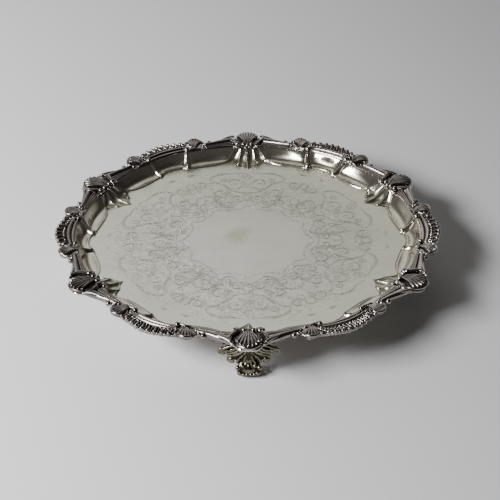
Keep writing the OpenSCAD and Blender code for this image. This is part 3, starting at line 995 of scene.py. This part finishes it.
    # a faint old tarnish patch near the middle, no lettering
    x, y = v[:, 0], v[:, 1]
    st = np.exp(-(((x + 9) / 7) ** 2 + ((y - 6) / 8) ** 2)) * .9 + .5 * np.exp(-(((x + 2) / 5) ** 2 + ((y - 13) / 4) ** 2))
    at = me.attributes.new("stain", "FLOAT", "POINT")
    at.data.foreach_set("value", st.astype(np.float32))
    set_cavity(me, 10, 0.25)
    cav = np.empty(len(v), np.float32)
    me.attributes["cav"].data.foreach_get("value", cav)
    cav[nt:nb] = 0.36
    cav[:na] = 0.62
    me.attributes["cav"].data.foreach_set("value", cav)
    me.materials.append(M_TRAY)
    o = obj_of("tray", me)
    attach(o, "root")
    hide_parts("tray_body")
    print("tray", len(me.polygons), "faces; floor", len(f_floor), "strokes", len(STROKES))
    return o


def bmesh_new(me):
    """Makes all normals agree, outward."""
    import bmesh
    bm = bmesh.new()
    bm.from_mesh(me)
    bmesh.ops.recalc_face_normals(bm, faces=bm.faces)
    bm.to_mesh(me)
    bm.free()
    return me


TRAY = build_tray()


# ------------------------------------------------------------------ border castings, front sector (mm)
def wrap_grid(t, s, height, edge=0.55, inner=0.05, outer=None):
    """Top and bottom grids of a casting that sits on the flange and laps over its edge."""
    top, bot = [], []
    for tt in t:
        fold = 30 - abs(30 - tt) if tt > 15 else abs(tt)
        ri, ro = r_in(fold) + inner, r_out(fold)
        if outer is not None:
            ro = ro + outer(tt)
        a, b = [], []
        for ss in s:
            r = ri + (ro - ri) * ss
            a.append(PT(tt, r, FLZ + height(tt, ss)))
            b.append(PT(tt, min(r, ro - 1.35), FLZ - .02))
        a.append(PT(tt, ro - .30, FLZ - .35))
        b.append(PT(tt, ro - 1.35, FLZ - .3))
        a.append(PT(tt, ro - 1.05, UNZ + .02))
        b.append(PT(tt, ro - 1.35, UNZ + .02))
        top.append(a)
        bot.append(b)
    return np.array(top), np.array(bot)


def hump(s, c, w):
    return np.sqrt(np.maximum(0, 1 - ((s - c) / w) ** 2))


def make_moulding():
    b = Bag()
    t = np.linspace(4.9, 15.3, 72)
    s = np.concatenate([np.linspace(0, .45, 40), .725 + .275 * np.sin(np.radians(np.linspace(-90, 90, 30)))])

    def height(tt, ss):
        if ss <= .45:
            base = .7 + 1.5 * ss / .45
            reed = max(hump(ss, .07, .055), hump(ss, .20, .055), hump(ss, .33, .055))
            return base + .62 * reed - (.75 if ss > .40 else 0)
        return .9 + 2.7 * float(hump(ss, .725, .278))
    top, bot = wrap_grid(t, s, height)
    slab(b, top, bot)
    # outer ball, with a small collar, where the moulding meets the leaf
    ball(b, PT(13.3, .9145 * R, FLZ + 1.15), 2.15)
    ball(b, PT(14.75, .905 * R, FLZ + 1.3), 1.3)
    # a curling leaf tip laid over the shell end
    tube(b, [PT(a, r, z) for a, r, z in ((5.1, .948 * R, FLZ + 2.3), (6.6, .933 * R, FLZ + 3.0), (8.6, .918 * R, FLZ + 2.9), (10.4, .905 * R, FLZ + 2.4))],
         [1.5, 1.2, .8, .45], 10)
    return remeshed("moulding", b, 0.27, 1)


def make_shell():
    b = Bag()
    hinge = np.array([0, 130.0])
    phis = np.linspace(-74, 74, 75)
    rho = np.linspace(0, 1, 20)

    def lip(phi, k=1.0):
        a = math.radians(phi)
        return np.array([9.3 * math.sin(a) * k, 140.3 + (10.4 * math.cos(a)) * k])
    top, bot = [], []
    for phi in phis:
        L = lip(phi)
        a, c = [], []
        for q in rho:
            p = hinge + (L - hinge) * q
            a.append(XR(p[0], p[1], FLZ + .9 + .9 * math.sin(math.pi * min(1, q) * .62)))
            c.append(XR(p[0], p[1], FLZ - .02))
        top.append(a)
        bot.append(c)
    slab(b, np.array(top), np.array(bot))
    # ground plate between the two mouldings
    top, bot = wrap_grid(np.linspace(-5.1, 5.1, 40), np.linspace(0, .93, 18), lambda tt, ss: .9 + .5 * math.sin(math.pi * ss), outer=lambda tt: -2.0)
    slab(b, top, bot)
    # the lip wall that laps over the edge of the flange
    wall_t, wall_b = [], []
    for phi in np.linspace(-80, 80, 70):
        o, i = lip(phi, 1.06), lip(phi, .82)
        zs = (FLZ + 1.4, FLZ + .8, FLZ, UNZ + .7, UNZ + .05)
        wall_t.append([XR(o[0] * (1 - .022 * k * k / 2), o[1] - .16 * k * k / 2, z) for k, z in enumerate(zs)])
        wall_b.append([XR(i[0], i[1], z) for z in zs])
    slab(b, np.array(wall_t), np.array(wall_b))
    # rolled lip and the plain band under the ribs
    tube(b, [XR(*lip(phi, .975), FLZ + 1.15) for phi in np.linspace(-88, 88, 46)], [1.0, 1.3, 1.6, 1.65, 1.6, 1.3, 1.0], 14)
    # seven ribs fanning out from the hinge, scalloped at the lip
    for i in range(7):
        phi = -63 + 126 * i / 6
        L = lip(phi, .90)
        q = np.linspace(0.03, 1, 14)
        pts = []
        for u in q:
            p = hinge + (L - hinge) * u
            arch = FLZ + 2.0 + 1.5 * math.sin(math.pi * (u ** .85) * .78) - .25 * abs(phi) / 66
            pts.append(XR(p[0], p[1], arch))
        tube(b, pts, [.55, .8, 1.0, 1.16, 1.28, 1.15], 12)
    # little drops between the rib ends
    for i in range(6):
        phi = -63 + 126 * (i + .5) / 6
        L = lip(phi, .99)
        ball(b, XR(L[0] * .93, L[1] - 1.0, FLZ + 2.3), .6)
    # hinge: a small palmette
    ball(b, XR(0, 130.4, FLZ + 1.9), 1.4, (1.2, 1.2, 1))
    for x in (-1, 1):
        ball(b, XR(3.4 * x, 131.0, FLZ + 2.6), 1.75)
        ball(b, XR(1.7 * x, 128.4, FLZ + 1.3), .95)
    for m in (-1, 1):
        # C-scroll at each side, curling in to a ball
        path = spline([(11.4, 145.4, 1.4), (13.3, 142.0, 2.0), (13.3, 138.6, 2.6), (11.4, 135.2, 2.9), (9.2, 132.6, 2.7), (7.2, 130.2, 2.4),
                       (7.0, 128.0, 2.0), (8.8, 126.9, 1.8), (10.6, 127.8, 1.8)], 46)
        tube(b, [XR(m * x, r + .9, FLZ + z) for x, r, z in path], [1.0, 1.5, 1.6, 1.4, 1.2, 1.0, .7], 12)
        ball(b, XR(m * 8.2, 131.6, FLZ + 2.4), 2.05)
        ball(b, XR(m * 10.6, 128.9, FLZ + 1.3), 1.35)
        ball(b, XR(m * 6.2, 128.4, FLZ + .9), 1.2)
        # outer frill on the scroll
        for x, r, q, z in ((15.9, 141.2, 1.35, 1.4), (13.9, 143.9, 1.05, 1.3), (11.9, 145.9, 1.0, 1.2), (13.8, 137.6, 1.05, 1.7),
                           (12.3, 134.4, .8, 1.6)):
            ball(b, XR(m * x, r, FLZ + z), q)
    return remeshed("shell", b, 0.27, 1)


def make_leaf():
    b = Bag()
    t0 = 18.4
    c0 = PT(t0, .925 * R, 0)[:2]
    a = math.radians(t0)
    er = np.array([math.sin(a), -math.cos(a)])
    et = np.array([math.cos(a), math.sin(a)])
    hinge = PT(19.7, .871 * R, 0)[:2]

    def at(p, z):
        return np.array([p[0], p[1], z])

    def lip(phi, k=1.0):
        f = math.radians(phi)
        return c0 + et * 5.5 * k * math.sin(f) + er * 5.0 * k * math.cos(f)
    # ground plate following the sector outline
    t = np.linspace(15.3, 22.0, 40)
    s = np.linspace(0, 1, 26)
    top, bot = wrap_grid(t, s, lambda tt, ss: .9 + .9 * math.sin(math.pi * min(1, ss * .8)), outer=lambda tt: -.15)
    slab(b, top, bot)
    # dished fan and its ribs
    top, bot = [], []
    for phi in np.linspace(-96, 96, 50):
        L = lip(phi)
        top.append([at(hinge + (L - hinge) * q, FLZ + 1.6 + 1.1 * q) for q in np.linspace(0, 1, 12)])
        bot.append([at(hinge + (L - hinge) * q, FLZ) for q in np.linspace(0, 1, 12)])
    slab(b, np.array(top), np.array(bot))
    for i in range(6):
        L = lip(-80 + 160 * i / 5, .86)
        pts = [at(hinge + (L - hinge) * q, FLZ + 1.9 + 1.25 * math.sin(math.pi * q * .72)) for q in np.linspace(.05, 1, 10)]
        tube(b, pts, [.5, .72, .9, .98, .95], 10)
    tube(b, [at(lip(phi, .98), FLZ + 2.0 + .6 * math.cos(math.radians(phi))) for phi in np.linspace(-104, 100, 40)], [.75, 1.0, 1.12, 1.0, .75], 12, flat=1.3)
    # scrolls and balls round it
    tube(b, spline([at(hinge, FLZ + 2.2), PT(20.8, .8655 * R, FLZ + 2.1), PT(22.0, .866 * R, FLZ + 1.8)], 14), [1.15, 1.2, 1.0], 10)
    ball(b, PT(22.35, .8735 * R, FLZ + 2.2), 2.05)
    path = spline([PT(20.2, .893 * R, FLZ + 2.0), PT(21.2, .912 * R, FLZ + 2.2), PT(21.6, .932 * R, FLZ + 2.0), PT(21.0, .947 * R, FLZ + 1.7)], 18)
    tube(b, path, [.7, .85, .9, .8], 10)
    ball(b, PT(20.95, .9455 * R, FLZ + 1.9), 1.2)
    ball(b, PT(22.0, .902 * R, FLZ + 1.9), 1.15)
    ball(b, PT(15.95, .8845 * R, FLZ + 1.7), 1.2)
    ball(b, PT(15.35, .8985 * R, FLZ + 1.7), 1.1)
    tube(b, spline([PT(15.5, .905 * R, FLZ + 1.6), PT(15.6, .922 * R, FLZ + 2.0), PT(16.1, .94 * R, FLZ + 1.9)], 12), [.7, .9, .7], 10)
    tube(b, spline([PT(17.6, .8665 * R, FLZ + 1.5), PT(18.7, .866 * R, FLZ + 1.9), PT(19.7, .871 * R, FLZ + 2.2)], 12), [.6, .9, 1.1], 10)
    return remeshed("leaf", b, 0.27, 1)


def make_arc():
    b = Bag()
    t = np.linspace(22.0, 38.0, 130)
    s = np.concatenate([np.linspace(0, .46, 34), np.linspace(.48, 1, 12)])

    def height(tt, ss):
        if ss < .46:
            base = .75 + 1.0 * ss / .46
            return base + .75 * float(hump(ss, .10, .085)) + 1.15 * float(hump(ss, .335, .10)) - .35 * float(hump(ss, .21, .03))
        return 1.25 - .25 * (ss - .46)
    top, bot = wrap_grid(t, s, height, outer=lambda tt: -.55)
    slab(b, top, bot)

    def ro(tt):
        return float(r_out(30 - abs(30 - tt)))

    def ri(tt):
        return float(r_in(30 - abs(30 - tt)))
    for i in range(8):
        tt = 23.05 + 13.9 * i / 7
        ball(b, PT(tt, ro(tt) - 1.85, FLZ + 1.75), 1.6, (1, 1, 1))
        # skirt under each bead, down over the edge
        ball(b, PT(tt, ro(tt) - 1.35, FLZ + .3), 1.3, (1, 1, 1.2))
        # leaf-like tongue running in from the bead
        r0, r1 = ro(tt) - 2.6, ri(tt) + (ro(tt) - ri(tt)) * .55
        tube(b, spline([PT(tt, r0, FLZ + 1.9), PT(tt - .25, (r0 + r1) / 2, FLZ + 1.9), PT(tt - .6, r1, FLZ + 1.6)], 10), [1.1, .95, .7], 10)
    for i in range(7):
        tt = 24.05 + 11.9 * i / 6
        r0, r1 = ro(tt) - 1.0, ri(tt) + (ro(tt) - ri(tt)) * .52
        tube(b, spline([PT(tt, r0, FLZ + 1.35), PT(tt - .2, (r0 + r1) / 2, FLZ + 1.9), PT(tt - .5, r1, FLZ + 1.8)], 10), [.4, .5, .5], 8)
    for i in range(14):
        tt = 22.75 + 14.5 * i / 13
        rr = ri(tt) + (ro(tt) - ri(tt)) * .53
        ball(b, PT(tt, rr, FLZ + 2.05), .88)
    for tt in (22.55, 37.45):
        ball(b, PT(tt, ro(tt) - 3.9, FLZ + 1.85), 1.75)
    return remeshed("arc", b, 0.27, 1)


# ------------------------------------------------------------------ foot (mm; x across, r out, z up)
TOE = -f_lo.y * 1000 - 10.0              # distance of the toe's middle from the axis
def make_foot():
    b = Bag()
    front = lin([(0, 4.4), (1.0, 6.0), (2.6, 7.3), (5.2, 7.4), (8, 6.2), (11.5, 3.6), (15, 2.8), (19, 4.2), (23, 7.0), (27, 9.4), (30.5, 10.0), (34, 9.2)])
    side = lin([(0, 4.2), (1, 5.8), (2.6, 7.6), (5, 8.7), (7.4, 8.5), (9.5, 7.4), (11.5, 8.0), (14.5, 10.4), (17.0, 9.6), (18.6, 9.4), (20.2, 10.8), (22, 13.2),
                (24, 16.0), (26.5, 17.4), (29, 17.4), (32, 17.0), (34, 16.6)])
    zs = np.concatenate([np.linspace(0, 8, 15), np.linspace(8.8, UNZ - .02, 44)])
    xs = np.linspace(-1, 1, 41)

    def face(x, z, d=0.0):
        w = side(z)
        back = 1.5 * (abs(x) / 21) ** 2 * (z > 6)
        return XR(x, TOE + front(z) - back - d, z)
    top, bot = [], []
    for z in zs:
        w = float(side(z))
        thick = 9.6 if z < 6 else 9.6 - (z - 6) * 2.1 if z < 9 else 3.1
        top.append([face(x * w, z, .55) for x in xs])
        bot.append([face(x * w * .97, z, thick) for x in xs])
    slab(b, np.array(top), np.array(bot))
    # a flange plate where it is soldered to the tray
    pt, pb = [], []
    for x in np.linspace(-18.5, 18.5, 24):
        pt.append([XR(x, r, UNZ - .02) for r in np.linspace(TOE + 4.2, TOE + 10.8, 6)])
        pb.append([XR(x * .97, r, UNZ - 1.4) for r in np.linspace(TOE + 4.4, TOE + 10.3, 6)])
    slab(b, np.array(pt), np.array(pb))
    for m in (-1, 1):
        # upper volute: a disc with a raised spiral, a leaf running into it
        ball(b, face(m * 18.4, 25.4, -.1), 1.0, (3.7, 1.3, 3.7), 20)
        sp = spiral((0, 0), 3.6, 100, 1.45, 1.0, 44, hand=-1)
        line = [(8.5, 32.4), (12.5, 31.6), (15.6, 30.2)] + [(18.5 + x, 25.4 + z) for x, z in sp]
        tube(b, [face(m * x, z, -.9) for x, z in spline(line, 70)], [.7, 1.0, 1.05, 1.0, .95, .9, .8, .7], 10)
        ball(b, face(m * 18.6, 25.3, -1.2), 1.5)
        ball(b, face(m * 14.9, 21.8, -.2), 1.3)
        # lower volute: a ball with a collar
        ball(b, face(m * 12.2, 14.6, -.5), 2.55, (1, .9, 1))
        line = [(8.6, 22.2), (9.6, 19.6), (12.2, 18.2), (14.6, 16.6), (15.0, 13.6), (12.8, 11.6), (10.2, 11.8)]
        tube(b, [face(m * x, z, .3) for x, z in spline(line, 40)], [.6, .9, 1.0, 1.0, .95, .8, .5], 10)
        # plumes flowing from the middle of the top into the volutes and the toe
        for q, line in ((1.25, [(7.0, 33.4), (9.0, 29.8), (12.4, 27.2), (16.0, 27.6), (18.6, 29.0)]),
                        (1.2, [(4.6, 33.2), (6.6, 28.2), (10.2, 24.6), (14.6, 23.0)]),
                        (1.3, [(3.0, 32.0), (3.9, 27.0), (6.6, 22.6), (9.4, 19.8), (10.8, 17.4)]),
                        (1.2, [(2.0, 28.0), (2.6, 22.6), (4.8, 18.0), (7.2, 14.6), (8.4, 11.8)]),
                        (1.15, [(1.4, 24.0), (1.6, 18.6), (3.2, 14.0), (5.6, 10.8), (6.6, 8.6)]),
                        (1.0, [(1.0, 17.0), (1.4, 12.8), (3.2, 9.4), (3.8, 6.8)])):
            pts = spline([(m * x, z) for x, z in line], 26)
            tube(b, [face(x, z, -.1) for x, z in pts], [q * .5, q * .85, q, q * .95, q * .7], 10)
        # knobs of the toe
        ball(b, face(m * 7.8, 8.4, .3), 1.9)
        ball(b, face(m * 4.6, 9.9, -.3), 1.5)
        for x, z in ((1.4, 3.6), (4.0, 3.8), (6.3, 4.9)):
            ball(b, face(m * x, z, .1), 1.15)
        ball(b, face(m * 9.3, 18.2, .1), 1.0)
        ball(b, face(m * 14.4, 20.6, .2), 1.15)
    line = [(0, 33), (0, 28), (0, 22), (0, 16), (0, 11), (0, 7.5)]
    tube(b, [face(x, z, -.05) for x, z in spline(line, 26)], [1.2, 1.3, 1.1, .9, .8, .8], 12)
    # rounded toe
    ball(b, XR(0, TOE + 1.5, 5.6), 1.0, (8.6, 6.0, 6.0), 28)
    ball(b, face(-1.0, 28.4, -1.3), 1.2)
    # solid sole
    st, sb = [], []
    for x in np.linspace(-1, 1, 21):
        w = math.sqrt(max(0, 1 - abs(x) ** 3.2))
        rr = np.linspace(TOE + 2.0 - 4.2 * w, TOE + 2.0 + 3.6 * w, 9)
        st.append([XR(x * 6.2, r, 3.0) for r in rr])
        sb.append([XR(x * 4.6, TOE + 2.4 + (r - TOE - 2.4) * .9, 0.02) for r in rr])
    slab(b, np.array(st), np.array(sb))
    co, faces, ed = remeshed("foot", b, 0.32, 1)
    co[:, 2] = np.clip(co[:, 2], 0.0, UNZ)
    return co, faces, ed


BORDER_TOP = TOP - 0.02
parts = {"shell": make_shell(), "moulding": make_moulding(), "leaf": make_leaf(), "gadroon": make_arc()}
for k, (co, fa, ed) in parts.items():
    co[:, 2] = np.clip(co[:, 2], UNZ, BORDER_TOP)
foot_co, foot_faces, _ = make_foot()
print({k: len(v[1]) for k, v in parts.items()}, "foot", len(foot_faces))

for n in range(1, 7):
    a = 60 * (n - 1)
    co, fa, _ = parts["shell"]
    piece("shell_%d" % n, rot_z(co, a), fa, "shell_%d" % n, M_BORDER)
    co, fa, _ = parts["gadroon"]
    piece("gadroon_%d" % n, rot_z(co, a), fa, "gadroon_%d" % n, M_BORDER)
    for kind in ("moulding", "leaf"):
        co, fa, _ = parts[kind]
        piece("%s_%da" % (kind, n), rot_z(co, a), fa, "%s_%da" % (kind, n), M_BORDER)
        co, fa = mirror_x(co, fa)
        piece("%s_%db" % (kind, n), rot_z(co, a), fa, "%s_%db" % (kind, n), M_BORDER)
for name, a in (("foot_front", 0), ("foot_back_right", 120), ("foot_back_left", 240)):
    piece(name, rot_z(foot_co, a), foot_faces, name, M_FOOT, 12, 0.25)


# ------------------------------------------------------------------ table, lights, camera
def table_top():
    bpy.ops.mesh.primitive_plane_add(size=9, location=(0, 1.5, 0))
    o = bpy.context.object
    o.name = "table"
    mat = bpy.data.materials.new("table_tone_and_painted_falloff")
    n = N(mat)
    out = n.new("ShaderNodeOutputMaterial")
    bs = n.new("ShaderNodeBsdfPrincipled")
    pos = n.new("ShaderNodeTexCoord").outputs["Object"]
    sx = n.new("ShaderNodeSeparateXYZ")
    n.link(pos, sx.inputs[0])
    # painted shade: the table's colour runs from pale at the left to darker at the right, standing in for the falloff
    # of the key light
    across = n.math("ADD", n.math("MULTIPLY", sx.outputs[0], 1.667), 0.5, clamp=True)
    col = n.mix(across, (.905, .92, .955), (.525, .535, .56))
    col = n.mix(n.math("MULTIPLY", n.noise(3, 3, .5, pos), .10), col, (.90, .90, .90))
    n.link(col, bs.inputs["Base Color"])
    bs.inputs["Roughness"].default_value = 0.75
    n.link(bs.outputs[0], out.inputs[0])
    o.data.materials.append(mat)
    return o


table_top()

world = bpy.data.worlds.new("room")
bpy.context.scene.world = world
world.use_nodes = True
wt = world.node_tree
wt.nodes.clear()
wo = wt.nodes.new("ShaderNodeOutputWorld")
bg = wt.nodes.new("ShaderNodeBackground")
wt.links.new(bg.outputs[0], wo.inputs[0])
co = wt.nodes.new("ShaderNodeTexCoord")
# a pale wall seen low at the far side; the rest of the room is dark
dot = wt.nodes.new("ShaderNodeVectorMath")
dot.operation = "DOT_PRODUCT"
nrm = wt.nodes.new("ShaderNodeVectorMath")
nrm.operation = "NORMALIZE"
wt.links.new(co.outputs["Generated"], nrm.inputs[0])
wt.links.new(nrm.outputs[0], dot.inputs[0])
d0 = Vector((-0.13, 0.85, 0.51)).normalized()
dot.inputs[1].default_value = tuple(d0)
rampn = wt.nodes.new("ShaderNodeValToRGB")
wt.links.new(dot.outputs["Value"], rampn.inputs[0])
els = rampn.color_ramp.elements
while len(els) < 6:
    els.new(.5)
for e, (p, c) in zip(els, ((0.0, (.024, .023, .022)), (.50, (.030, .027, .025)), (.79, (.10, .093, .083)), (.905, (.40, .385, .36)), (.955, (.82, .815, .78)), (1.0, (.96, .955, .915)))):
    e.position = p
    e.color = (*c, 1)
sep = wt.nodes.new("ShaderNodeSeparateXYZ")
wt.links.new(nrm.outputs[0], sep.inputs[0])


def wmath(op, a, b, clamp=False):
    n_ = wt.nodes.new("ShaderNodeMath")
    n_.operation = op
    n_.use_clamp = clamp
    for i, x in enumerate((a, b)):
        if isinstance(x, (int, float)):
            n_.inputs[i].default_value = x
        else:
            wt.links.new(x, n_.inputs[i])
    return n_.outputs[0]


# full near the horizon, gone above about twenty degrees, only on the far half
low = wmath("SUBTRACT", 1.15, wmath("MULTIPLY", wmath("ABSOLUTE", wmath("SUBTRACT", sep.outputs[2], 0.03), 0), 3.6), True)
far = wmath("ADD", wmath("MULTIPLY", sep.outputs[1], 2.2), 0.15, True)
glow = wmath("MULTIPLY", wmath("MULTIPLY", low, far), 0.34)
tint = wt.nodes.new("ShaderNodeVectorMath")
tint.operation = "SCALE"
tint.inputs[0].default_value = (1.0, .965, .91)
wt.links.new(glow, tint.inputs[3])
addv = wt.nodes.new("ShaderNodeVectorMath")
addv.operation = "ADD"
wt.links.new(rampn.outputs[0], addv.inputs[0])
wt.links.new(tint.outputs[0], addv.inputs[1])
wt.links.new(addv.outputs[0], bg.inputs["Color"])
bg.inputs["Strength"].default_value = 1.0


def area(name, loc, aim, size, size_y, power, color=(1, 1, 1)):
    li = bpy.data.lights.new(name, "AREA")
    li.shape = "RECTANGLE"
    li.size, li.size_y = size, size_y
    li.energy = power
    li.color = color
    o = bpy.data.objects.new(name, li)
    bpy.context.scene.collection.objects.link(o)
    o.location = loc
    o.rotation_euler = (Vector(aim) - Vector(loc)).to_track_quat("-Z", "Y").to_euler()
    return o


area("key", (-1.13, -0.64, 0.98), (0, 0, 0.02), 0.98, 0.44, 51, (1.0, 0.99, 0.975))

cam = bpy.data.cameras.new("camera")
cam.lens = 117.9
cam.sensor_width = 36
cam.clip_start = 0.05
cam.clip_end = 30
co_ = bpy.data.objects.new("camera", cam)
bpy.context.scene.collection.objects.link(co_)
C, T = Vector((0, -1.0620, 0.7271)), Vector((0.00154, -0.02861, 0.0375))
F = (T - C).normalized()
Rt = F.cross(Vector((0, 0, 1))).normalized()
U = Rt.cross(F)
roll = math.radians(0.35)
Rr = Rt * math.cos(roll) - U * math.sin(roll)
Ur = Rt * math.sin(roll) + U * math.cos(roll)
M = Matrix((Rr, Ur, -F)).transposed().to_4x4()
M.translation = C
co_.matrix_world = M
bpy.context.scene.camera = co_
